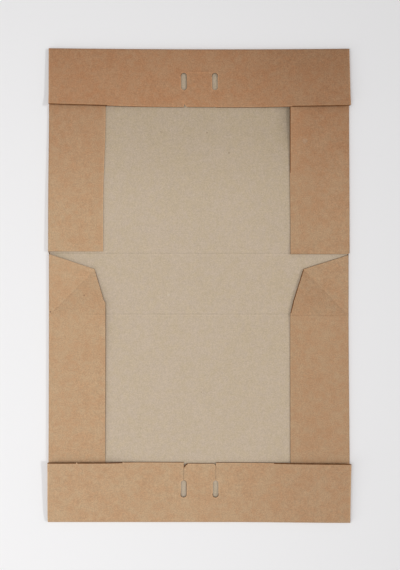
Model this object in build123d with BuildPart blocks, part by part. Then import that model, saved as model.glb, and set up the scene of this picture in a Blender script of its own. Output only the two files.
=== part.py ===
"""A one-piece cardboard box blank, folded flat.

The blank is a lid panel, a spine and a base panel in a row. Its four side walls are
folded in by half a turn and lie on the panels, with a corner web beside each end of the
spine. An end flap at each end is folded in over the walls and can be opened outwards.
X runs across the blank, +Y towards the lid's end, +Z up from the surface it lies on.
The origin is under the middle of the whole blank. Lengths are millimetres.
"""

from build123d import *
from math import cos, radians, sin
import os

# Board
board = 1.0

# Panels, from fold to fold
base_width = 311.0
lid_overhang = 0.6  # how far the lid reaches past the spine, on each side
base_length = 215.5
spine_depth = 62.5
lid_length = 212.0

# Side walls, folded in flat on the panels
left_wall_width = 58.5
right_wall_width = 62.2
wall_fold_gap = 0.2
wall_lift = 0.1  # degrees that a wall springs up from its panel
wall_end_gap = 1.5  # between a wall's end and the rolled end fold
lid_wall_gap_left = 2.0  # from the lid crease to a lid wall's lower end
lid_wall_gap_right = 0.4

# Corner webs beside the spine, measured in from the side fold and down from the lid crease
web_tip_drop = 0.3
web_shoulder_in = 47.8
web_shoulder_drop = 16.2
web_heel_in_left = 56.6
web_heel_in_right = 58.1
web_heel_drop = 47.8
web_toe_drop_left = 50.8
web_toe_drop_right = 62.5

# Creases pressed into the face that is up
crease_width = 1.2
crease_depth = 0.2

# End flaps
flap_clearance = 0.35  # between a flap and what it lies on
fold_clearance = 0.3  # round the rolled fold, inside the panel's end
fold_tail = 58.0  # degrees that the rolled fold runs on past its lowest line
flap_middle_drop = 0.7  # how far the middle of the free edge lies below the fold's top
lid_flap_inset = 0.4  # how far the lid's flap stays inside its panel, on each side
lid_flap_length = 61.2
lid_lift_left = 1.6  # rise of a free corner over the fold's top
lid_lift_right = 3.6
base_flap_overhang = 1.1  # how far the base's flap reaches past its panel, on each side
base_flap_length = 63.3
base_lift_left = 3.9
base_lift_right = 2.4

# Locking tongue in each end flap, between two slots and two slits
slot_width = 5.8
slot_length = 17.8
slit_width = 0.4
lid_slot_start = 25.2  # from the fold's outside to a slot's near end
base_slot_start = 26.4
lid_slot_spacing = 32.2
base_slot_spacing = 33.1
lid_tongue_setback = 0.2  # how much a tongue ends short of its flap's free edge
base_tongue_setback = 1.0
tongue_radius_left = 4.6
tongue_radius_right = 2.6

# Side fold: the board rolled round half a turn
wall_fold_middle = (wall_fold_gap + board) / 2
wall_fold_outer = wall_fold_gap / 2 + board
wall_cut_height = board + wall_fold_gap / 2

# Highest point of a wall, which the end flaps have to clear
wall_rise = max(left_wall_width, right_wall_width) * sin(radians(wall_lift))
wall_top = 2 * wall_fold_outer + wall_rise

# End fold: rolled more widely, round a panel and a wall
end_fold_inner = (wall_top + flap_clearance - board) / 2
end_fold_outer = end_fold_inner + board

# Widths that follow from the base's
lid_width = base_width + 2 * lid_overhang
lid_flap_width = lid_width - 2 * lid_flap_inset
base_flap_width = base_width + 2 * base_flap_overhang

# Places along the blank
total_length = lid_length + spine_depth + base_length
lid_crease_y = total_length / 2 - lid_length
base_crease_y = lid_crease_y - spine_depth
lid_fold_y = total_length / 2 - end_fold_outer
base_fold_y = end_fold_outer - total_length / 2
wall_end_in = end_fold_outer + fold_clearance + wall_end_gap
full_width = max(base_width, lid_width, lid_flap_width, base_flap_width)


def folded_band(width, y_start, length):
    """Draw the panel and both folded-in walls out towards -Y, from their section."""
    edge = width / 2 - wall_fold_outer
    right_flat = right_wall_width - wall_fold_outer
    left_flat = left_wall_width - wall_fold_outer
    with BuildSketch(Plane.XZ.offset(-y_start)) as section:
        with BuildLine():
            panel = Line((-edge, board / 2), (edge, board / 2))
            right_roll = JernArc(panel @ 1, panel % 1, wall_fold_middle, 180 - wall_lift)
            Line(right_roll @ 1, right_roll @ 1 + (right_roll % 1) * right_flat)
            left_roll = JernArc(panel @ 0, (panel % 0) * -1, wall_fold_middle, wall_lift - 180)
            Line(left_roll @ 1, left_roll @ 1 + (left_roll % 1) * left_flat)
        trace(line_width=board)
    extrude(section.sketch, amount=length)


def web_cut_outline(side):
    """What is cut away above the spine, in from the side fold and down from the lid crease."""
    wall_width = left_wall_width if side < 0 else right_wall_width
    heel_in = web_heel_in_left if side < 0 else web_heel_in_right
    toe_drop = web_toe_drop_left if side < 0 else web_toe_drop_right
    lid_gap = lid_wall_gap_left if side < 0 else lid_wall_gap_right
    past = wall_width + wall_fold_outer
    return [
        (-wall_fold_outer, web_tip_drop),
        (0, web_tip_drop),
        (web_shoulder_in, web_shoulder_drop),
        (heel_in, web_heel_drop),
        (wall_width, toe_drop),
        (past, toe_drop),
        (past, -lid_gap),
        (-wall_fold_outer, -lid_gap),
    ]


def wall_plane(side):
    """The upper face of a lower wall, with X in from its side fold."""
    tilt = radians(wall_lift)
    roll_x = base_width / 2 - wall_fold_outer
    return Plane(
        origin=(side * (roll_x + wall_fold_outer * sin(tilt)), 0, wall_fold_outer * (1 + cos(tilt))),
        x_dir=(-side * cos(tilt), 0, sin(tilt)),
        z_dir=(side * sin(tilt), 0, cos(tilt)),
    )


with BuildPart() as folded_sheet:
    # Spine and base panel share one width. The lid is a little wider, to slip over them.
    folded_band(base_width, lid_crease_y, lid_crease_y - base_fold_y)
    folded_band(lid_width, lid_fold_y, lid_fold_y - lid_crease_y)

    # The lower walls narrow to a corner web beside the spine; the lid's walls stop above it.
    for side in (-1, 1):
        with BuildSketch(Plane.XY.offset(wall_cut_height)):
            with BuildLine():
                Polyline(
                    [
                        (side * (base_width / 2 - inward), lid_crease_y - drop)
                        for inward, drop in web_cut_outline(side)
                    ],
                    close=True,
                )
            make_face()
        extrude(amount=wall_top, mode=Mode.SUBTRACT)

    # The walls end before the end folds, which leave a round hollow in the panels' ends.
    for fold_y, inwards in ((lid_fold_y, -1), (base_fold_y, 1)):
        with BuildSketch(Plane.XY.offset(wall_cut_height)):
            with Locations((0, fold_y)):
                Rectangle(full_width, 2 * wall_end_in)
        extrude(amount=wall_top, mode=Mode.SUBTRACT)
        with BuildSketch(Plane.YZ):
            with Locations((fold_y, end_fold_outer)):
                Circle(end_fold_outer + fold_clearance)
        extrude(amount=full_width, both=True, mode=Mode.SUBTRACT)

    # Creases across the whole panel at both ends of the spine
    for crease_y in (lid_crease_y, base_crease_y):
        with BuildSketch(Plane.XY.offset(board)):
            with Locations((0, crease_y)):
                Rectangle(base_width - 2 * wall_fold_outer, crease_width)
        extrude(amount=-crease_depth, mode=Mode.SUBTRACT)

    # Creases across each lower wall: one in line with the spine's, one slanting up the web
    for side in (-1, 1):
        corner = (0, -side * base_crease_y)
        shoulder = (
            web_shoulder_in - wall_fold_outer,
            -side * (lid_crease_y - web_shoulder_drop),
        )
        free_edge = (max(left_wall_width, right_wall_width), -side * base_crease_y)
        with BuildSketch(wall_plane(side)):
            with BuildLine():
                Line(corner, free_edge)
            trace(line_width=crease_width)
            with BuildLine():
                Line(corner, shoulder)
            trace(line_width=crease_width)
        extrude(amount=-crease_depth, mode=Mode.SUBTRACT)


def end_flap(end, width, length, lifts, slot_start, slot_spacing, tongue_setback):
    """A flap folded in from one end: end is +1 at the lid's end and -1 at the base's."""
    lift_left, lift_right = lifts
    fold_y = lid_fold_y if end > 0 else base_fold_y
    edge_y = fold_y - end * (length - end_fold_outer)
    past_edge = 2 * board
    outside_y = fold_y + end * end_fold_outer

    with BuildPart() as flap:
        # Rolled fold, from the flap's root at its top to its tail inside the panel's end
        roll_start = -90 - fold_tail if end > 0 else 90
        roll_centre = (fold_y, end_fold_outer)
        with BuildSketch(Plane.YZ):
            with BuildLine():
                outer = CenterArc(roll_centre, end_fold_outer, roll_start, 180 + fold_tail)
                inner = CenterArc(roll_centre, end_fold_inner, roll_start, 180 + fold_tail)
                Line(outer @ 0, inner @ 0)
                Line(outer @ 1, inner @ 1)
            make_face()
        extrude(amount=width / 2, both=True)

        # Panel, straight at the fold and sagging between its corners at the free edge
        fold_top = 2 * end_fold_outer
        left_top = fold_top + lift_left
        middle_top = fold_top - flap_middle_drop
        right_top = fold_top + lift_right
        with BuildSketch(Plane.XZ.offset(-fold_y)):
            with Locations((0, fold_top - board / 2)):
                Rectangle(width, board)
        with BuildSketch(Plane.XZ.offset(-edge_y)):
            with BuildLine():
                upper = ThreePointArc(
                    (-width / 2, left_top), (0, middle_top), (width / 2, right_top)
                )
                lower = ThreePointArc(
                    (-width / 2, left_top - board),
                    (0, middle_top - board),
                    (width / 2, right_top - board),
                )
                Line(upper @ 0, lower @ 0)
                Line(upper @ 1, lower @ 1)
            make_face()
        loft(ruled=True)

        # Two slots, each with a slit from its inner end out to the free edge
        cut_height = 2 * fold_top
        slot_y = outside_y - end * (slot_start + slot_length / 2)
        slit_y = (slot_y + edge_y - end * past_edge) / 2
        slit_length = abs(edge_y - end * past_edge - slot_y)
        with BuildSketch():
            with Locations((-slot_spacing / 2, slot_y), (slot_spacing / 2, slot_y)):
                SlotOverall(slot_length, slot_width, rotation=90)
            with Locations((-slot_spacing / 2, slit_y), (slot_spacing / 2, slit_y)):
                Rectangle(slit_width, slit_length)
            # The tongue ends short of the free edge
            with Locations((0, edge_y - end * past_edge / 2)):
                Rectangle(slot_spacing, past_edge + 2 * tongue_setback)
        extrude(amount=cut_height, mode=Mode.SUBTRACT)

        # Rounded corners of the tongue
        tongue_y = edge_y + end * tongue_setback
        for side, radius in ((-1, tongue_radius_left), (1, tongue_radius_right)):
            corner_x = side * (slot_spacing - slit_width) / 2
            with BuildSketch():
                with Locations((corner_x - side * radius / 2, tongue_y + end * radius / 2)):
                    Rectangle(radius, radius)
                with Locations((corner_x - side * radius, tongue_y + end * radius)):
                    Circle(radius, mode=Mode.SUBTRACT)
            extrude(amount=cut_height, mode=Mode.SUBTRACT)
    return flap


lid_end_flap = end_flap(
    1,
    lid_flap_width,
    lid_flap_length,
    (lid_lift_left, lid_lift_right),
    lid_slot_start,
    lid_slot_spacing,
    lid_tongue_setback,
)
base_end_flap = end_flap(
    -1,
    base_flap_width,
    base_flap_length,
    (base_lift_left, base_lift_right),
    base_slot_start,
    base_slot_spacing,
    base_tongue_setback,
)

os.makedirs("parts", exist_ok=True)
for name, piece in (
    ("folded_sheet", folded_sheet),
    ("lid_end_flap", lid_end_flap),
    ("base_end_flap", base_end_flap),
):
    piece.part.label = name
    export_step(piece.part, f"parts/{name}.step")
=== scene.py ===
# %% [markdown]
# A flattened cardboard box, seen from straight above. The real thing is one sheet of board: cut
# out with a steel rule die, scored, folded over on itself and left lying flat. One face of the
# board is brown kraft and the other is grey-beige, so every part that is folded over shows the
# other colour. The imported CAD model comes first. It fixes where everything is, and each piece made
# here goes exactly there, in metres.

# %% Load the frame
import math

import bmesh
import bpy
from mathutils import Matrix, Vector, noise
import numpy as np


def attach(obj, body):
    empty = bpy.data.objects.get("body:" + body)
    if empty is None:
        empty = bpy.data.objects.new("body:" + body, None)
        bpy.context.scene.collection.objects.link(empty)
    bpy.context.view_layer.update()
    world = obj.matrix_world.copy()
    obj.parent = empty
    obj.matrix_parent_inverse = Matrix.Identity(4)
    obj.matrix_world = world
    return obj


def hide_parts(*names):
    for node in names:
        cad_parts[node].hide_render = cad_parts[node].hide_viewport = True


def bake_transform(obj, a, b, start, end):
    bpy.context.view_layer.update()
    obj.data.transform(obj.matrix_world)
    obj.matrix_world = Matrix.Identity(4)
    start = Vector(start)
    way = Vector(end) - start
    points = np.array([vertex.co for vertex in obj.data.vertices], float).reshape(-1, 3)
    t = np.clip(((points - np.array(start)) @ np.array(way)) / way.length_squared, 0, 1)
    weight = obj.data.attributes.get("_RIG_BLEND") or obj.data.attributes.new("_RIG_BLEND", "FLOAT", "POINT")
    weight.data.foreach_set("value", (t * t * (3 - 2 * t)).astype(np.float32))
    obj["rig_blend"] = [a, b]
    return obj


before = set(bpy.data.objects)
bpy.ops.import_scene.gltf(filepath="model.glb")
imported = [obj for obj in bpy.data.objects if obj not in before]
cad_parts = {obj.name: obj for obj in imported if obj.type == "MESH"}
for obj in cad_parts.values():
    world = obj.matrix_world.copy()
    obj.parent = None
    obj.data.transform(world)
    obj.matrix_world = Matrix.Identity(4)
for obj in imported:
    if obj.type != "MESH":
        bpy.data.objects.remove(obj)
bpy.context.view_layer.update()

print("CAD nodes:", sorted(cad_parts))

# %% [markdown]
# A box maker draws a blank by its panels: how far it is from fold to fold, and where the knives
# go. The same sizes drive this script. They are in millimetres, because that is how board is cut,
# and a mesh is scaled to metres only once it is finished. Where the two sides of the box differ, a
# size is held for side -1, the left, and side 1, the right. Where the two end flaps differ, it is
# held for end 1, the lid's, and end -1, the base's.

# %% Sizes of the blank
mm = 0.001
board = 1.0

base_width = 311.0
total_length = 490.0
lid_crease_y = 33.0
base_crease_y = -29.5

side_roll = 1.1
left_wall = 58.5
right_wall = 61.6
wall_end_gap = 1.8
end_roll = 1.829
flap_half = {1: 155.7, -1: 156.6}
flap_length = {1: 61.2, -1: 63.3}
fold_y = total_length / 2 - end_roll
wall_end_y = fold_y - end_roll - wall_end_gap
print("Fold lines at", round(fold_y, 2), "mm, walls end at", round(wall_end_y, 2), "mm")

# %% [markdown]
# A few small helpers come before any board. `ease` is a smooth S from 0 to 1, for every bow and
# spring in the sheet. `cut_along` is one stroke of the knife: it cuts only the faces that a
# straight line runs over, so the rest of the grid stays even. `cut_out` goes round an outline with
# that knife and takes the waste away, as the die does. A boolean could do the same, but it would
# have to cut through board that is already bent, and it leaves long thin triangles there.
#
# The knife also crushes the rim of the board. A dark strip goes along many cuts, partly the crushed
# rim and partly painted shade, and it is left off edges where the light falls on the cut. So three
# fine lines are ruled beside each cut: the usual width of the dark strip, its width where it is
# painted shadow of a raised edge, and how far in a painted highlight reaches. Every cut is
# remembered, with a note of whether it gets the dark strip, so `from_rim` can tell later how close
# a point is to an edge.

# %% Knife work on a flat blank
wall_rim = (0.18, 0.9, 1.4)
lid_rim = (0.38, 0.9, 1.6)
base_rim = (0.38, 1.15, 1.6)
weld = 1e-4
rim_search = 2
no_rim = 9.0


def ease(value, start, end):
    share = min(1, max(0, (value - start) / (end - start)))
    return share * share * (3 - 2 * share)


def cut_along(bm, start, end):
    low_x, high_x = sorted((start[0], end[0]))
    low_y, high_y = sorted((start[1], end[1]))
    touched = {}
    for face in bm.faces:
        xs = [v.co.x for v in face.verts]
        ys = [v.co.y for v in face.verts]
        if max(xs) < low_x or min(xs) > high_x or max(ys) < low_y or min(ys) > high_y:
            continue
        touched.update(dict.fromkeys((face, *face.edges, *face.verts)))
    bmesh.ops.bisect_plane(
        bm,
        geom=list(touched),
        dist=weld,
        plane_co=(start[0], start[1], 0),
        plane_no=(end[1] - start[1], start[0] - end[0], 0),
    )


def is_inside(point, outline):
    inside = False
    for (ax, ay), (bx, by) in zip(outline, outline[1:] + outline[:1]):
        if (ay > point.y) != (by > point.y):
            if point.x < ax + (point.y - ay) * (bx - ax) / (by - ay):
                inside = not inside
    return inside


def rule_rim(bm, start, end, outline=(), lines=wall_rim):
    """Rules the fine lines on the side of a cut where board is left."""
    start, end = Vector(start), Vector(end)
    across = Vector((start.y - end.y, end.x - start.x)).normalized()
    just_off = 0.01
    for side in (-1, 1):
        if outline and is_inside((start + end) / 2 + across * side * just_off, outline):
            continue
        for offset in lines:
            cut_along(bm, start + across * offset * side, end + across * offset * side)


def cut_out(bm, outline, rims=None, lines=wall_rim, crushed_and_shaded=lambda middle: True):
    strokes = list(zip(outline, outline[1:] + outline[:1]))
    for start, end in strokes:
        cut_along(bm, start, end)
    waste = [f for f in bm.faces if is_inside(f.calc_center_median(), outline)]
    bmesh.ops.delete(bm, geom=waste, context="FACES")
    if rims is not None:
        for start, end in strokes:
            rule_rim(bm, start, end, outline, lines)
            middle = (Vector(start) + Vector(end)) / 2
            rims.append((Vector(start), Vector(end), crushed_and_shaded(middle)))
    return len(waste)


def from_rim(point, rims):
    """How far a point on the blank is from the nearest cut edge."""
    nearest = no_rim
    for start, end, crushed_and_shaded in rims:
        if not min(start.x, end.x) - rim_search < point.x < max(start.x, end.x) + rim_search:
            continue
        if not min(start.y, end.y) - rim_search < point.y < max(start.y, end.y) + rim_search:
            continue
        along = end - start
        share = (point.xy - start).dot(along) / along.length_squared
        foot = start + along * min(1, max(0, share))
        nearest = min(nearest, (point.xy - foot).length)
    return nearest


def corner_curve(centre, radius, first, last, steps=5):
    """Points on part of a circle, from one angle to another, in degrees."""
    turns = [math.radians(first + (last - first) * i / steps) for i in range(steps + 1)]
    return [(centre[0] + radius * math.cos(a), centre[1] + radius * math.sin(a)) for a in turns]


# %% [markdown]
# The blank starts as a flat grid, fine enough to bend softly, with its brown face down on the
# table. Lines are then scored into it wherever it will bend. A fold in thick board isn't a sharp
# line: the board rolls over in a tight half turn. `fold_over` does what hands do, strip by strip
# from the outside inwards, and each strip turns everything beyond it a little further.

# %% Make, score and fold a blank
UP = Vector((0, 0, 1))


def flat_blank(low, high, cell):
    bm = bmesh.new()
    size = (high[0] - low[0], high[1] - low[1])
    middle = ((low[0] + high[0]) / 2, (low[1] + high[1]) / 2)
    bmesh.ops.create_grid(
        bm, x_segments=round(size[0] / cell), y_segments=round(size[1] / cell), size=0.5
    )
    bmesh.ops.scale(bm, vec=(*size, 1), verts=bm.verts)
    bmesh.ops.translate(bm, vec=(*middle, 0), verts=bm.verts)
    bmesh.ops.reverse_faces(bm, faces=bm.faces)
    return bm


def score(bm, outward, distance):
    bmesh.ops.bisect_plane(
        bm,
        geom=bm.verts[:] + bm.edges[:] + bm.faces[:],
        dist=weld,
        plane_co=outward * distance,
        plane_no=outward,
    )


def strip_width(radius, strips):
    return 2 * radius * math.sin(math.pi / strips / 2)


def fold_over(bm, flat, outward, start, radius, strips, folds=lambda place: True):
    width = strip_width(radius, strips)
    past_line = 1e-3
    for line in range(strips, -1, -1):
        at = start + line * width
        turn = math.pi / strips / (2 if line in (0, strips) else 1)
        beyond = [v for v in bm.verts if v[flat].dot(outward) > at + past_line and folds(v[flat])]
        bmesh.ops.rotate(
            bm, verts=beyond, cent=outward * at, matrix=Matrix.Rotation(turn, 3, outward.cross(UP))
        )


clear_of_line = 0.01


def is_rolled(past, arc):
    """Whether a point that far past a fold line is in the rolled part of the board."""
    return clear_of_line < past < arc - clear_of_line


side_strips = 8
end_strips = 12
side_arc = side_strips * strip_width(side_roll, side_strips)
end_arc = end_strips * strip_width(end_roll, end_strips)
panel_half = base_width / 2 - side_roll
print("A side fold uses", round(side_arc, 2), "mm of board, an end fold", round(end_arc, 2), "mm")

# %% [markdown]
# The sheet is the lid panel, the spine and the base panel in a row, with a wall down each long
# side. Beside the spine the lower walls narrow to a slanted corner web, so that part of each wall
# is cut away. At the four corners a notch frees the wall from the strip that the end flap folds
# on. All of it is cut while the blank is still flat, and measured from the folds, as on the
# maker's drawing.

# %% Cut the sheet
walls = {-1: left_wall, 1: right_wall}
lid_wall_gap = {-1: 2.0, 1: -0.8}
web_start = {-1: 0.3, 1: 1.3}
web_tip = {-1: 47.0, 1: 47.8}
web_tip_width = 0.6
web_shoulder = 16.2
web_corner = 17.8
web_heel = {-1: 56.6, 1: 58.1}
web_heel_drop = 47.8
web_toe = {-1: 50.8, 1: 62.5}
end_tab_half = base_width / 2
notch_step = 1.5
waste_margin = 5


def on_blank(inward):
    """Where on the blank lies what ends up that far in from the side fold."""
    return panel_half + side_arc + inward - side_roll


sheet = flat_blank(
    (-on_blank(left_wall), -fold_y),
    (on_blank(right_wall), fold_y),
    cell=7.0,
)
for side in (-1, 1):
    for line in range(side_strips + 1):
        score(sheet, Vector((side, 0, 0)), panel_half + line * strip_width(side_roll, side_strips))

waste = 0
sheet_rims = []
for side, wall in walls.items():
    for low, high in ((-wall_end_y, lid_crease_y), (lid_crease_y, wall_end_y)):
        free_edge = [Vector((side * on_blank(wall), y)) for y in (low, high)]
        rule_rim(sheet, *free_edge)
        sheet_rims.append((*free_edge, side > 0 or low < 0))
    crest = panel_half + side_arc / 2
    far = on_blank(wall) + waste_margin
    web = [
        (crest, lid_crease_y - web_start[side]),
        (on_blank(web_tip[side]), lid_crease_y - web_shoulder),
        (on_blank(web_tip[side] + web_tip_width), lid_crease_y - web_corner),
        (on_blank(web_heel[side]), lid_crease_y - web_heel_drop),
        (on_blank(wall), lid_crease_y - web_toe[side]),
        (far, lid_crease_y - web_toe[side]),
        (far, lid_crease_y + lid_wall_gap[side]),
        (crest, lid_crease_y + lid_wall_gap[side]),
    ]
    # On the left, the strokes above the web's shoulder get no dark strip, among them the lower end of the
    # lid's wall, where the light falls on the cut.
    waste += cut_out(
        sheet,
        [(side * x, y) for x, y in web],
        sheet_rims,
        crushed_and_shaded=lambda middle: side > 0 or middle.y < lid_crease_y - web_shoulder,
    )
    for end in (-1, 1):
        notch = [
            (panel_half, wall_end_y),
            (far, wall_end_y),
            (far, fold_y + waste_margin),
            (end_tab_half, fold_y + waste_margin),
            (end_tab_half, wall_end_y + notch_step),
            (panel_half, wall_end_y + notch_step),
        ]
        waste += cut_out(sheet, [(side * x, end * y) for x, y in notch])
print("Faces of waste taken out of the sheet:", waste)

# %% [markdown]
# A crease is where a blunt rule has pressed the board. The two across the spine are pressed into
# the grey face, and each is a narrow groove with painted shade in it and a painted highlight
# beside it. The walls have creases too, one in line with the lower crease and one slanting up the
# web, and they show on the brown face. Lines ruled side by side make a groove: the middle ones are
# pushed in and the outer ones stay. `crease_profile` has how far each line is from the crease, how
# deep it is pressed and the painted light and shade it gets. On the grey face a vertex group does
# the pushing, because the board only gets its thickness later, and the group makes it thinner
# there. Below the slanting crease the web gets painted shade, as if it leaned away from the light.
#
# A second value, `shade`, says how much lighter or darker the paper is at a point. Just inside
# the rims it holds a painted highlight, and the two sides of a groove get painted light and shade,
# as they catch the light differently. `inside` is the same for the grey face alone. A rim with the
# dark strip takes the material of the cut edge, partly the crushed rim and partly painted shade.
# Where a raised edge shades the board next to it, that strip is wider and is painted shadow, so a
# function of the place gives the width.

# %% Press the creases
crease_profile = ((1.2, 0, 0), (0.4, 1, -1), (-0.4, 1, -1), (-1.3, 0, 1), (-2.2, 0, 0))
crease_depth = 0.1
rim_crush = 0.28
same_point = 0.02
on_line = 0.03
slack = 0.05
edge_and_shade_index = 2


def crease(start, end, across, strength, inside=False):
    start, end = Vector(start), Vector(end)
    return {
        "start": start,
        "along": (end - start).normalized(),
        "length": (end - start).length,
        "across": Vector(across).normalized(),
        "strength": strength,
        "inside": inside,
    }


def rule_creases(bm, creases):
    for line in creases:
        for offset, depth, tint in crease_profile:
            begin = line["start"] + line["across"] * offset
            cut_along(bm, begin, begin + line["along"] * line["length"])


def press(vert, place, creases, shade, thickness):
    for line in creases:
        local = place.xy - line["start"]
        if not -slack < local.dot(line["along"]) < line["length"] + slack:
            continue
        for offset, depth, tint in crease_profile:
            if abs(local.dot(line["across"]) - offset) < on_line:
                vert[shade] += tint * line["strength"]
                if line["inside"]:
                    vert[thickness][0] -= depth * crease_depth / board
                else:
                    vert.co.z += depth * crease_depth
                return 1
    return 0


def prepare(bm, rims, creases, lines, rim_highlight, crush_shade_width):
    """Remembers where each point lay on the blank, crushes the cut rims and presses the creases."""
    rule_creases(bm, creases)
    crushed_shaded_rims = [line for line in rims if line[2]]
    bmesh.ops.remove_doubles(bm, verts=bm.verts, dist=same_point)
    flat = bm.verts.layers.float_vector.new("flat")
    shade = bm.verts.layers.float.new("shade")
    bm.verts.layers.float.new("inside")
    thickness = bm.verts.layers.deform.verify()
    pressed = 0
    for vert in bm.verts:
        vert[flat] = vert.co
        gap = from_rim(vert.co, rims)
        crush = rim_crush * max(0, 1 - gap / lines[0])
        vert.co.z += crush
        vert[thickness][0] = 1 - crush / board
        # A painted highlight runs just inside each rim.
        vert[shade] = rim_highlight * ease(gap, lines[2], lines[0])
        pressed += press(vert, vert[flat], creases, shade, thickness)
    # Faces in the dark strip take the cut edge's material, partly the crushed rim and partly painted shade.
    for face in bm.faces:
        centre = sum((v[flat] for v in face.verts), Vector()) / len(face.verts)
        if from_rim(centre, crushed_shaded_rims) < crush_shade_width(centre) - slack:
            face.material_index = edge_and_shade_index
    print("Points on creases:", pressed, "and faces in all:", len(bm.faces))
    return flat, shade


crease_root = 2.2
crease_tip = (47.5, 17.3)
left_crease_start = 38
left_crease_y = -30.0
right_crease_y = -30.8
wall_rim_highlight = 0.05
painted_shadow_above = 116
painted_shadow_web = (-29, 16)

sheet_creases = []
for crease_y, strength in ((lid_crease_y, 0.08), (base_crease_y, 0.06)):
    ends = [(-panel_half, crease_y), (panel_half, crease_y)]
    sheet_creases.append(crease(*ends, (0, 1), strength, inside=True))
web_folds = {}
for side in walls:
    root = (side * on_blank(crease_root), base_crease_y)
    tip = (side * on_blank(crease_tip[0]), lid_crease_y - crease_tip[1])
    lower = (side * (tip[1] - root[1]), -abs(tip[0] - root[0]))
    web_folds[side] = crease(root, tip, lower, 0.05)
left_line = [(-on_blank(x), left_crease_y) for x in (left_crease_start, left_wall)]
right_line = [(on_blank(x), right_crease_y) for x in (crease_root, right_wall)]
sheet_creases += web_folds.values()
sheet_creases.append(crease(*left_line, (0, 1), 0.06))
sheet_creases.append(crease(*right_line, (0, -1), 0.08))


# Width of the dark strip along a wall's rim: partly the crushed rim and partly painted shade, and wider on
# the right where it is painted shadow of a raised edge.
def wall_crush_shade_width(place):
    wide_painted_shadow = place.x > 0 and (place.y > painted_shadow_above or painted_shadow_web[0] < place.y < painted_shadow_web[1])
    return wall_rim[1] if wide_painted_shadow else wall_rim[0]


flat, shade = prepare(sheet, sheet_rims, sheet_creases, wall_rim, wall_rim_highlight, wall_crush_shade_width)

web_painted_shade = {-1: -0.065, 1: -0.06}
# Painted shade on the web below its slanting crease.
for vert in sheet.verts:
    side = 1 if vert[flat].x > 0 else -1
    line = web_folds[side]
    local = vert[flat].xy - line["start"]
    below = local.dot(line["across"])
    beside = 0 < local.dot(line["along"]) < line["length"] and vert[flat].y > left_crease_y
    if beside and below > 0.3:
        vert[shade] += web_painted_shade[side] * (1 - 0.6 * ease(below, 4, 30))

# %% [markdown]
# Now the walls are folded in. Board that has been folded never lies quite flat: it springs up a
# little at the fold, a free edge lifts, and the sides bow out. The photo shows most of that along
# the left side of the lid, whose shadow on the floor is twice as wide as at the lid's end. The
# free edges of the walls aren't quite straight either. These small rises and shifts are what tells
# real board from a drawing of it, so each has a function of its own, of the place along the box.
# The board also gets darker towards the lid's end and towards the right, which goes into `shade`
# and `inside`. Beside the right wall of the lid the grey face gets painted shadow, and some free
# edges of the walls a painted highlight.

# %% Fold the walls in and let them spring
edge_press = 0.15
fold_top = 2 * side_roll
fold_shade = -0.04
wall_wave_height = 0.12
wall_wave_length = 70.0
end_bow_start = 150
wall_end_slack = 0.5


def on_wall(place):
    past_fold = abs(place.x) > panel_half + clear_of_line
    return past_fold and abs(place.y) < wall_end_y + wall_end_slack


for side in (-1, 1):
    outward = Vector((side, 0, 0))
    fold_over(sheet, flat, outward, panel_half, side_roll, side_strips, folds=on_wall)


def side_shift(side, y):
    """How far a side fold lies outside the drawn line."""
    if y > lid_crease_y:
        return -0.2 + 0.6 * ease(y, 170, 85) if side < 0 else -1.1 + 0.4 * ease(y, 180, 40)
    if side < 0:
        return -0.3 + 0.5 * ease(y, -40, -235)
    return -1.7 + 1.3 * ease(y, -20, -235)


def free_edge_shift(side, y):
    """How much wider or narrower a wall is at its free edge than it was drawn."""
    if side < 0:
        return 2.0 * ease(y, 180, 80) if y > lid_crease_y else 0
    return -0.7 * side_shift(side, y) * ease(y, 120, 60)


def fold_spring(side, y):
    """How much higher than two boards a side fold stands."""
    if side > 0:
        return 0.5 * ease(y, 200, 120) * ease(y, -60, 20)
    if y > lid_crease_y:
        return 2.8 * min(1, max(0, (205 - y) / 165))
    return 1.5 * ease(y, -236, -190)


def edge_lift(side, y):
    """How far a wall's free edge is up off the panel. The lid's left wall doesn't lift at all."""
    lift = 0
    if side > 0 and y > lid_crease_y:
        lift = 2.0 * ease(y, 115, 178) * ease(y, 203, 184) + 0.9 * ease(y, 55, 36)
    elif side > 0:
        lift = 1.6 * ease(y, -50, -18)
    elif y <= lid_crease_y:
        lift = 0.6 * ease(y, -178, -150) + 1.3 * ease(y, -110, -20)
        lift *= 1 - 0.8 * ease(y, -15, 14)
    return lift - edge_press


def fold_inset(end, x):
    """How far an end fold stands in from the end of the blank, which bows a little."""
    across = x / (base_width / 2)
    if end > 0:
        return 0.5 + 1.2 * (1 - ((across - 0.15) / 1.15) ** 2)
    return 1.05 - 0.85 * ease(across, 0.2, 1)


def board_wave(x, y, length):
    return noise.noise(Vector((x, y, 0)) / length)


def wall_tone_and_highlight(side, place, along_wall):
    """How much lighter or darker than plain kraft a wall is there, with a painted highlight along the free
    edges of the lid's left wall and of the right wall towards the lid.
    """
    tone = -0.05 * ease(place.x, 0, 120) - 0.05 * ease(place.y, 80, 185)
    if side > 0:
        return tone + 0.08 * ease(along_wall, 0.6, 1) * ease(place.y, 100, 140)
    if place.y > lid_crease_y:
        return tone + 0.15 * ease(along_wall, 0.97, 1)
    return tone + 0.025 * ease(place.y, -40, 0)


def panel_tone_and_shadow(x, y):
    """The same for a panel's grey face: darker towards the lid's end, with painted shadow beside the right
    wall of the lid.
    """
    tone = -0.12 * ease(y, 70, 185) - 0.03 * ease(x, 40, 93) * ease(y, 33, 60)
    return tone - 0.22 * ease(x, 80, 93) * ease(y, 130, 180)


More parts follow.
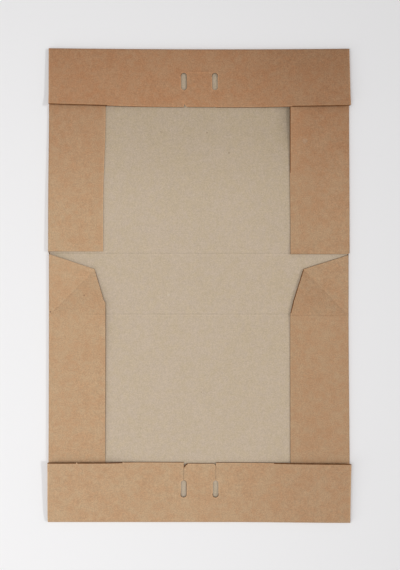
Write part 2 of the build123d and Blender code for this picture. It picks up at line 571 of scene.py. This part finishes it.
inside = sheet.verts.layers.float["inside"]
for vert in sheet.verts:
    place = vert[flat]
    side = 1 if place.x > 0 else -1
    end = 1 if place.y > 0 else -1
    out = abs(place.x)
    shift = side_shift(side, place.y) * min(1, out / panel_half)
    if on_wall(place):
        along_wall = max(0, (out - panel_half - side_arc) / (walls[side] - side_roll))
        rolled = vert.co.z / fold_top if along_wall == 0 else 1
        vert.co.z += fold_spring(side, place.y) * rolled * (1 - along_wall)
        vert.co.z += edge_lift(side, place.y) * along_wall**2
        wave = board_wave(vert.co.x, vert.co.y, wall_wave_length)
        vert.co.z += wall_wave_height * wave * ease(along_wall, 0.1, 0.6)
        if is_rolled(out - panel_half, side_arc):
            vert[shade] = fold_shade
        vert[shade] += wall_tone_and_highlight(side, place, along_wall)
        shift += free_edge_shift(side, place.y) * along_wall
    else:
        vert[inside] = panel_tone_and_shadow(vert.co.x, place.y)
    vert.co.x += side * shift
    near_end = ease(abs(place.y), end_bow_start, wall_end_y)
    vert.co.y -= end * fold_inset(end, vert.co.x) * near_end
print("Highest point of the folded sheet:", round(max(v.co.z for v in sheet.verts), 2), "mm")

# %% [markdown]
# Each end flap is made the same way, from a strip of blank of its own that begins where the panel
# ends. It has a locking tongue in the middle, which a finished box would tuck in: two round-ended
# slots, and from each of them a slit out to the free edge. The tongue was cut with a rounded
# corner on each side, larger on the left. The slits are so narrow that they show only as thin
# lines. The lid's tongue has been bent once along its root, which left a faint crease from slot to
# slot. The free edge of the base's flap has no dark strip at two nicks, where the die had a gap to
# hold the waste. Towards the ends of both free edges, and at the left corner of the base's tongue,
# the dark strip is wider, as painted shadow under the raised board.

# %% Cut an end flap
slot_length = 17.8
slot_width = 5.8
slot_crush_shade_end = 3
nick_half = 0.6
nick_depth = 1.5
outer_radii = {-1: 0.8, 1: 1.4}
bend_gap = 0.6
bend_inset = 1.5
flap_rim_highlight = 0.2
painted_shadow_beyond = {1: 94, -1: 78}
painted_shadow_corner = (-16.1, -11.5)
painted_shadow_corner_depth = 6


def slot_outline(x, near, far):
    radius = slot_width / 2
    step = 1 if far > near else -1
    low = corner_curve((x, near + step * radius), radius, 180, 180 + 180 * step, 8)
    high = corner_curve((x, far - step * radius), radius, 0, 180 * step, 8)
    return low + high


def rounded(x, y, side, end, radius):
    """The curve that takes the place of a sharp corner, from its side round to its end."""
    first = 0 if side > 0 else 180
    last = 270 if side < 0 and end < 0 else 90 * end
    return corner_curve((x - side * radius, y - end * radius), radius, first, last)


def flap_blank(end, slot_start, spacing, slot_shift, slit, setback, radii, nicks):
    """A flat flap and its fold, with all its cuts. It points away from the box."""
    rims = []
    half, length = flap_half[end], flap_length[end]
    flap_rim = lid_rim if end > 0 else base_rim
    reach = end_arc + length - end_roll
    along = [end * fold_y, end * (fold_y + reach)]
    bm = flat_blank((-half, min(along)), (half, max(along)), cell=5.0)
    for line in range(end_strips + 1):
        score(bm, Vector((0, end, 0)), fold_y + line * strip_width(end_roll, end_strips))

    def at(distance):
        """The y on the blank that ends up this far from the fold's outside."""
        return end * (fold_y + end_arc + distance - end_roll)

    free = at(length)
    tongue = at(length - setback)
    slits = [slot_shift - spacing / 2, slot_shift + spacing / 2]

    # The dark strip goes on the slot's end nearest the fold and on the right side of the left slot: partly
    # the cut edge seen there, partly painted shade.
    def slot_crushed_and_shaded(middle):
        near_end = end * (middle.y - at(slot_start + slot_crush_shade_end)) < 0
        return near_end or slits[0] < middle.x < 0

    for x in slits:
        slot = slot_outline(x, at(slot_start), at(slot_start + slot_length))
        cut_out(bm, slot, rims, flap_rim, slot_crushed_and_shaded)
        root = at(slot_start + slot_length - 1)
        cut_out(
            bm,
            [
                (x - slit / 2, root),
                (x + slit / 2, root),
                (x + slit / 2, free + end),
                (x - slit / 2, free + end),
            ],
        )
    inner = [slits[0] + slit / 2, slits[1] - slit / 2]
    tip = [(inner[0], tongue), (inner[1], tongue), (inner[1], free + end), (inner[0], free + end)]
    cut_out(bm, tip)
    for x in nicks:
        for shift in (-nick_half, nick_half):
            cut_along(bm, (x + shift, free), (x + shift, at(length - nick_depth)))
    straight_rims = [
        ((-half, free), (inner[0], free), True),
        ((inner[1], free), (half, free), True),
        ((inner[0], tongue), (inner[1], tongue), True),
        ((-half, at(2)), (-half, free), False),
        ((half, at(2)), (half, free), False),
    ]
    for start, finish, crushed_and_shaded in straight_rims:
        rims.append((Vector(start), Vector(finish), crushed_and_shaded))
        rule_rim(bm, start, finish, lines=flap_rim)
    for x, side, radius in zip(inner, (-1, 1), radii):
        corner = [(x, tongue)] + rounded(x, tongue, side, end, radius)
        cut_out(bm, corner, rims, flap_rim, lambda middle: end < 0)
    for side, radius in outer_radii.items():
        rim = rounded(side * half, free, side, end, radius)
        beside, beyond = side * (half + 1), free + end
        cut_out(bm, [(beside, beyond), (beside, rim[0][1])] + rim + [(rim[-1][0], beyond)])

    creases = []
    if end > 0:
        bend = at(slot_start - bend_gap)
        bend_line = [(slits[0] + bend_inset, bend), (slits[1] - bend_inset, bend)]
        creases.append(crease(*bend_line, (0, end), -0.10))

    # Width of the dark strip along a flap's rim: none at the nicks, and wider as painted shadow towards the
    # raised ends and at the base tongue's left corner.
    def flap_crush_shade_width(place):
        if any(abs(place.x - x) < nick_half for x in nicks):
            return 0
        wide_painted_shadow = abs(place.x) > painted_shadow_beyond[end]
        if end < 0 and painted_shadow_corner[0] < place.x < painted_shadow_corner[1]:
            wide_painted_shadow = wide_painted_shadow or abs(place.y) > abs(at(length - painted_shadow_corner_depth))
        return flap_rim[1] if wide_painted_shadow else flap_rim[0]

    return bm, *prepare(bm, rims, creases, flap_rim, flap_rim_highlight, flap_crush_shade_width)


lid_flap = flap_blank(
    end=1,
    slot_start=25.2,
    spacing=32.2,
    slot_shift=0.0,
    slit=0.05,
    setback=0.2,
    radii=(4.6, 1.6),
    nicks=(),
)
base_flap = flap_blank(
    end=-1,
    slot_start=26.4,
    spacing=33.1,
    slot_shift=0.35,
    slit=0.28,
    setback=1.0,
    radii=(4.6, 2.6),
    nicks=(-126.5, -79.0),
)

# %% [markdown]
# Folded over, a flap lies on the walls but not quite on the panel between them: its middle sags,
# its free corners spring up and its free edge curls where it lies over a wall. The left corner of
# the base's flap stands highest, and its shadow on the floor is the widest in the photo. The flaps
# also lie a little askew, by less than a millimetre, and their free edges aren't quite straight.
#
# Each flap has its own values. `fold` and `free` say how far left and right it reaches at the fold
# and at the free edge. `lift` is for the left and the right corner, and `curl` for the free edge.
# `edge` shifts, skews and bends the free edge. `tongue` says from where to where the tongue droops,
# and how far. `tone` is how much lighter or darker the paper is at the fold, how that changes
# towards the free edge, and what the right end adds.

# %% Fold the flaps in
flap_shapes = {
    1: {
        "fold": (-155.2, 154.3),
        "free": (-154.9, 155.3),
        "lift": (2.0, 2.3),
        "curl": 1.3,
        "edge": (-0.4, -0.8, 1.6),
        "tongue": (-16.0, 16.0, 0.1),
        "tone": (-0.10, 0.14, -0.15),
    },
    -1: {
        "fold": (-156.2, 155.2),
        "free": (-155.8, 155.9),
        "lift": (3.6, 2.0),
        "curl": 1.0,
        "edge": (0.6, 0.75, -0.05),
        "tongue": (-16.0, 16.6, -0.4),
        "tone": (0, 0, -0.06),
    },
}
middle_sag = 1.1
highest_corner = 3.85
flap_wave_height = 0.15
flap_wave_length = 55.0
tongue_rim = 3


def corner_lift(end, across, share):
    """How far a free corner springs up. The highest one begins to rise nearer to the fold."""
    left, right = flap_shapes[end]["lift"]
    lift = (left if across < 0 else right) * max(0, (abs(across) - 0.4) / 0.6)
    return lift * share ** (0.5 if across < 0 and end < 0 else 1.0)


def edge_curl(end, across, share):
    """How far the free edge curls up where there is a wall under it."""
    return flap_shapes[end]["curl"] * ease(share, 0.8, 1.0) * ease(abs(across), 0.5, 0.66)


def flap_sag(across, share):
    """How far a flap sinks between the walls."""
    return middle_sag * ease(abs(across), 0.66, 0.3) * (1 - (1 - min(1, share)) ** 2)


def fold_flap(bm, flat, shade, end):
    shape = flap_shapes[end]
    fold_over(bm, flat, Vector((0, end, 0)), fold_y, end_roll, end_strips)
    for vert in bm.verts:
        place = vert[flat]
        past = abs(place.y) - fold_y
        share = max(0, (past - end_arc) / (flap_length[end] - end_roll))
        across = place.x / flap_half[end]
        if is_rolled(past, end_arc):
            vert[shade] = fold_shade
        at_fold, towards_edge, at_right = shape["tone"]
        vert[shade] += at_fold + towards_edge * share + at_right * ease(across, -0.1, 0.9)

        low, high = (at + (to - at) * share for at, to in zip(shape["fold"], shape["free"]))
        vert.co.x = low + (high - low) * (across + 1) / 2
        rise = corner_lift(end, across, share) + edge_curl(end, across, share)
        vert.co.z += min(rise, highest_corner) - flap_sag(across, share)
        wave = board_wave(place.x, place.y + 200 * end, flap_wave_length)
        vert.co.z += flap_wave_height * wave * ease(share, 0, 0.4) * ease(abs(across), 1.0, 0.9)
        first, last, droop = shape["tongue"]
        if first < place.x < last:
            from_side = min(place.x - first, last - place.x)
            vert.co.z -= droop * ease(share, 0.3, 1.3) * ease(from_side, 0, tongue_rim)
        bow, skew, curve = shape["edge"]
        shift = bow + skew * across + curve * across**2
        vert.co.y += end * (shift * share - fold_inset(end, vert.co.x) * (1 - share))
    heights = [v.co.z for v in bm.verts]
    print("Flap at end", end, "is", round(min(heights), 2), "to", round(max(heights), 2), "mm high")


fold_flap(*lid_flap, 1)
fold_flap(*base_flap, -1)

# %% [markdown]
# Solid board is a skin with thickness, and Solidify is the tool for that. The mesh so far is the
# brown face, so the modifier grows the board inwards from it. The new face takes the grey material
# and the rim takes the material of the cut edge. The modifier is then applied, because two of the
# pieces bend with a joint, and that moves the points of the finished mesh.

# %% Give the board its thickness
def make_board(bm, name, materials):
    bmesh.ops.scale(bm, vec=(mm, mm, mm), verts=bm.verts)
    mesh = bpy.data.meshes.new(name)
    bm.to_mesh(mesh)
    bm.free()
    piece = bpy.data.objects.new(name, mesh)
    bpy.context.scene.collection.objects.link(piece)
    piece.vertex_groups.new(name="thickness")
    for material in materials:
        mesh.materials.append(material)
    shell = piece.modifiers.new("board", "SOLIDIFY")
    shell.thickness = board * mm
    shell.offset = -1
    shell.vertex_group = "thickness"
    shell.material_offset = 1
    shell.material_offset_rim = 2
    ready = bpy.context.evaluated_depsgraph_get()
    solid = bpy.data.meshes.new_from_object(
        piece.evaluated_get(ready), preserve_all_data_layers=True, depsgraph=ready
    )
    piece.modifiers.clear()
    piece.data = solid
    solid.name = name
    solid.shade_smooth()
    solid.set_sharp_from_angle(angle=math.radians(40))
    print(name, "has", len(solid.polygons), "faces")
    return piece


# %% [markdown]
# Shader maths reads best as plain expressions. This small class wraps an output of a node, and its
# operators add the Math nodes. Every other node comes from `add`, which sets a node's choices first
# and then the values or links of its inputs.

# %% A wire that can be added and multiplied
class Wire:
    def __init__(self, tree, socket=None):
        self.tree = tree
        self.socket = socket

    def add(self, kind, settings=None, inputs=None, output=0):
        node = self.tree.nodes.new(kind)
        for name, value in (settings or {}).items():
            setattr(node, name, value)
        for key, value in (inputs or {}).items():
            if isinstance(value, Wire):
                self.tree.links.new(value.socket, node.inputs[key])
            else:
                node.inputs[key].default_value = value
        return Wire(self.tree, node.outputs[output] if node.outputs else None)

    def maths(self, operation, left, right):
        return self.add("ShaderNodeMath", {"operation": operation}, {0: left, 1: right})

    def __add__(self, other):
        return self.maths("ADD", self, other)

    def __sub__(self, other):
        return self.maths("SUBTRACT", self, other)

    def __rsub__(self, other):
        return self.maths("SUBTRACT", other, self)

    def __mul__(self, other):
        return self.maths("MULTIPLY", self, other)

    __radd__ = __add__
    __rmul__ = __mul__


# %% [markdown]
# Paper board is never one colour. Kraft has soft clouds a few centimetres wide, smaller patches
# that lean towards ochre or towards red, and a fine grain of fibres. The grey face is made of
# pulped waste paper, so its grain is weaker. All of it is noise of several sizes, in millimetres,
# on the object's own coordinates, so no seam shows and nothing slides. The same grain drives a very
# shallow bump, because it is the relief of the fibres as much as their colour.

# %% Patterns shared by the board's faces
def noise_of(wire, place, size_mm, detail=2.0, stretch=(1, 1, 1), start=(0, 0, 0)):
    """Noise with features of about that size, from -1 to 1 round 0."""
    moved = wire.add(
        "ShaderNodeMapping",
        {"vector_type": "POINT"},
        {"Vector": place, "Location": start, "Scale": stretch},
    )
    fac = wire.add(
        "ShaderNodeTexNoise",
        {"noise_dimensions": "3D"},
        {"Vector": moved, "Scale": 1 / (size_mm * mm), "Detail": detail, "Roughness": 0.55},
    )
    return (fac - 0.5) * 2


def ramp_between(wire, value, low, high):
    return wire.add(
        "ShaderNodeMapRange",
        {"interpolation_type": "SMOOTHSTEP"},
        {"Value": value, "From Min": low, "From Max": high},
    )


def mix_colours(wire, factor, first, second):
    return wire.add(
        "ShaderNodeMix",
        {"data_type": "RGBA", "clamp_factor": True},
        {0: factor, 6: first, 7: second},
        output=2,
    )


def scale_colour(wire, colour, factor):
    return wire.add(
        "ShaderNodeVectorMath", {"operation": "SCALE"}, {0: colour, "Scale": factor}
    )


def fleck(wire, place, x, y, radius):
    """1 inside a round spot at that place on the board, in millimetres, and 0 outside."""
    parts = wire.add("ShaderNodeVectorMath", {"operation": "MULTIPLY"}, {0: place, 1: (1, 1, 0)})
    away = wire.add(
        "ShaderNodeVectorMath",
        {"operation": "DISTANCE"},
        {0: parts, 1: (x * mm, y * mm, 0)},
        output="Value",
    )
    return ramp_between(wire, away, radius * mm, 0.4 * radius * mm)


def empty_material(name):
    """A new material without its usual nodes, a wire for others, and the place on the board."""
    material = bpy.data.materials.new(name)
    material.use_nodes = True
    material.node_tree.nodes.clear()
    wire = Wire(material.node_tree)
    return material, wire, wire.add("ShaderNodeTexCoord", output="Object")


def paper_surface(wire, colour, rough, gloss, relief, depth_mm, height):
    """The end of every board material: dull paper, with a shallow bump."""
    normal = wire.add(
        "ShaderNodeBump", None, {"Strength": relief, "Distance": depth_mm * mm, "Height": height}
    )
    shader = wire.add(
        "ShaderNodeBsdfPrincipled",
        None,
        {"Base Color": colour, "Roughness": rough, "Normal": normal, "Specular IOR Level": gloss},
    )
    wire.add("ShaderNodeOutputMaterial", None, {"Surface": shader})


def board_material(
    name, warm, cool, start, spots=(), grain=0.34, streak=0.07, drift_colours=None, tone=None
):
    material, wire, place = empty_material(name)
    cloud = noise_of(wire, place, 30, 3.0, start=start)
    patch = noise_of(wire, place, 7, 2.0, start=start)
    mottle = noise_of(wire, place, 2.8, 2.0, start=start)
    speckle = noise_of(wire, place, 1.1, 2.0, start=start)
    along = noise_of(wire, place, 1.8, 2.0, stretch=(1, 0.3, 1), start=start)
    across = noise_of(wire, place, 1.8, 2.0, stretch=(0.3, 1, 1), start=start)

    hue = ramp_between(wire, cloud * 0.5 + patch * 0.8 + mottle * 0.4, -0.5, 0.5)
    colour = mix_colours(wire, hue, warm, cool)
    if drift_colours:
        right = wire.add("ShaderNodeSeparateXYZ", None, {0: place}, output=0)
        up = wire.add("ShaderNodeSeparateXYZ", None, {0: place}, output=1)
        share = ramp_between(wire, up, 0.05, 0.20) * 0.7 + ramp_between(wire, right, 0, 0.12) * 0.3
        colour = mix_colours(wire, share, colour, mix_colours(wire, hue, *drift_colours))
    shade = wire.add("ShaderNodeAttribute", {"attribute_name": "shade"}, output="Fac")
    if tone:
        shade = shade + wire.add("ShaderNodeAttribute", {"attribute_name": tone}, output="Fac")
    fine = speckle * grain + (along + across) * streak
    light = 1 + cloud * 0.03 + patch * 0.02 + mottle * 0.02 + fine + shade
    colour = scale_colour(wire, colour, light)
    for x, y, radius, paint, strength in spots:
        colour = mix_colours(wire, fleck(wire, place, x, y, radius) * strength, colour, paint)

    height = speckle * 0.6 + (along + across) * 0.5
    rough = 0.86 + speckle * 0.05
    paper_surface(wire, colour, rough, gloss=0.2, relief=0.35, depth_mm=0.08, height=height)
    print(name, "uses", len(wire.tree.nodes), "nodes")
    return material


# %% [markdown]
# Its brown face is darker and redder towards the lid's end and a little towards the right, and the
# lid's flap most of all, so each face has a second pair of colours, `drift_colours`, that it drifts
# to. The specks and the scuff are the ones that the photo shows, each with its place, radius, colour
# and strength. The cut edge is made of the board's plies, so its noise is stretched along the edge.

# %% Materials of the board
dark_speck = (0.16, 0.10, 0.06, 1)
pale_speck = (0.66, 0.58, 0.47, 1)
kraft_drift = ((0.432, 0.218, 0.108, 1), (0.432, 0.248, 0.134, 1))

kraft = board_material(
    "kraft_board",
    warm=(0.510, 0.312, 0.174, 1),
    cool=(0.508, 0.346, 0.206, 1),
    start=(0.31, 0.12, 0.0),
    spots=(
        (-118.8, -10.2, 0.9, dark_speck, 0.7),
        (-153.3, -27.2, 1.1, dark_speck, 0.8),
        (108.5, 148.7, 3.4, pale_speck, 0.10),
    ),
    drift_colours=kraft_drift,
)
kraft_lid = board_material(
    "kraft_board_lid",
    warm=kraft_drift[0],
    cool=kraft_drift[1],
    start=(0.31, 0.12, 0.0),
)
grey = board_material(
    "grey_board",
    warm=(0.540, 0.435, 0.308, 1),
    cool=(0.535, 0.434, 0.330, 1),
    start=(0.07, 0.43, 0.2),
    grain=0.26,
    streak=0.05,
    tone="inside",
    drift_colours=((0.540, 0.426, 0.288, 1), (0.535, 0.425, 0.308, 1)),
    spots=(
        (-39.8, 158.5, 0.8, dark_speck, 0.5),
        (7.8, 157.5, 0.9, dark_speck, 0.6),
        (30.5, 136.8, 1.1, dark_speck, 0.5),
        (-6.1, 93.1, 0.8, pale_speck, 0.6),
        (-26.0, 44.8, 0.8, pale_speck, 0.6),
        (-32.0, -9.9, 1.8, pale_speck, 0.4),
        (2.0, -110.2, 0.9, dark_speck, 0.4),
    ),
)


# This very dark colour also fills the dark strips along the rims, so it is partly the board's cut edge and
# partly painted shade.
def edge_and_shade_material(name, dark, light):
    material, wire, place = empty_material(name)
    ply = noise_of(wire, place, 6.0, 3.0, stretch=(1, 1, 22))
    fuzz = noise_of(wire, place, 0.7, 2.0)
    colour = mix_colours(wire, ramp_between(wire, ply, -0.5, 0.5), dark, light)
    colour = scale_colour(wire, colour, 1 + fuzz * 0.12)
    height = ply + fuzz * 0.5
    paper_surface(wire, colour, 0.95, gloss=0.1, relief=0.5, depth_mm=0.12, height=height)
    return material


edge_and_shade = edge_and_shade_material("edge_and_shade", (0.10, 0.036, 0.011, 1), (0.18, 0.076, 0.027, 1))

# %% [markdown]
# With the materials ready, each blank becomes a piece. The sheet rides on its CAD body. A flap has
# to turn about its fold, and the board there must bend rather than tear, so each flap piece blends
# from the sheet's body to its own between the bottom and the top of the rolled fold. The line
# between the two leans 0.3 mm towards the box.

# %% The three pieces
folded_board = make_board(sheet, "folded_board", [kraft, grey, edge_and_shade])
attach(folded_board, "sheet")
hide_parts("folded_sheet")

for bm, name, body, node, end, face in (
    (lid_flap[0], "lid_flap_board", "lid_flap", "lid_end_flap", 1, kraft_lid),
    (base_flap[0], "base_flap_board", "base_flap", "base_end_flap", -1, kraft),
):
    flap = make_board(bm, name, [face, grey, edge_and_shade])
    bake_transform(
        flap,
        "sheet",
        body,
        start=(0, end * fold_y * mm, board * mm),
        end=(0, end * (fold_y - 0.3) * mm, (2 * end_roll - board) * mm),
    )
    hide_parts(node)

# %% [markdown]
# The box lies on a plain pale floor. In the photo the floor is brightest at the lower left and
# falls off towards the upper right, so a large soft light hangs over the lower left, and a second
# one stands low at the lower left. Its light comes so flat that the base's flap shades the walls
# just above it. A small hard light from the right gives the narrow shadows beside the left edge,
# which are as wide as the board there is high. The sky fills in the rest, and less of it reaches
# into the gaps.

# %% Floor and lights
floor_half = 4.0
floor_gap = 0.0001
lamp_size = 1.0
hard_slant = math.radians(48)

floor_mesh = bpy.data.meshes.new("floor")
floor_bm = bmesh.new()
bmesh.ops.create_grid(floor_bm, x_segments=1, y_segments=1, size=floor_half)
floor_bm.to_mesh(floor_mesh)
floor_bm.free()
floor = bpy.data.objects.new("floor", floor_mesh)
floor.location.z = -floor_gap
bpy.context.scene.collection.objects.link(floor)
floor_material = bpy.data.materials.new("floor")
floor_material.use_nodes = True
paint = floor_material.node_tree.nodes["Principled BSDF"]
paint.inputs["Base Color"].default_value = (0.88, 0.875, 0.875, 1)
paint.inputs["Roughness"].default_value = 0.9
paint.inputs["Specular IOR Level"].default_value = 0.0
floor_mesh.materials.append(floor_material)


def add_light(name, kind, energy, place, target=(0, 0, 0)):
    lamp = bpy.data.lights.new(name, kind)
    lamp.energy = energy
    light = bpy.data.objects.new(name, lamp)
    light.location = place
    light.rotation_euler = (Vector(target) - Vector(place)).to_track_quat("-Z", "Y").to_euler()
    bpy.context.scene.collection.objects.link(light)
    return lamp


soft = add_light("soft_light", "AREA", 4.63, (-0.26, -0.15, 1.0), (-0.26, -0.151, 0))
low = add_light("low_light", "AREA", 4.6, (-1.15, -0.8, 0.5))
for lamp in (soft, low):
    lamp.shape = "DISK"
    lamp.size = lamp_size
hard = add_light("hard_light", "SUN", 0.78, (math.sin(hard_slant), 0, math.cos(hard_slant)))
hard.angle = math.radians(2.5)

world = bpy.data.worlds.new("studio")
world.use_nodes = True
sky = world.node_tree.nodes["Background"]
sky.inputs["Color"].default_value = (0.97, 0.965, 0.98, 1)
sky.inputs["Strength"].default_value = 0.40
bpy.context.scene.world = world
bpy.context.scene.view_settings.view_transform = "Standard"

# %% [markdown]
# The camera hangs straight above the box, half a millimetre off its middle. One pixel of the photo
# is a little over a millimetre on the floor, which gives the height of the frame, and the distance
# follows from how much wider the raised corners of the flaps look than their folds.

# %% Camera
frame_height = 0.589
distance = 0.85
off_middle = (0.00052, 0.00041)
sensor = 36
lens_data = bpy.data.cameras.new("camera")
lens_data.sensor_width = sensor
lens_data.lens = sensor * distance / frame_height
camera = bpy.data.objects.new("camera", lens_data)
camera.location = (*off_middle, distance)
bpy.context.scene.collection.objects.link(camera)
bpy.context.scene.camera = camera
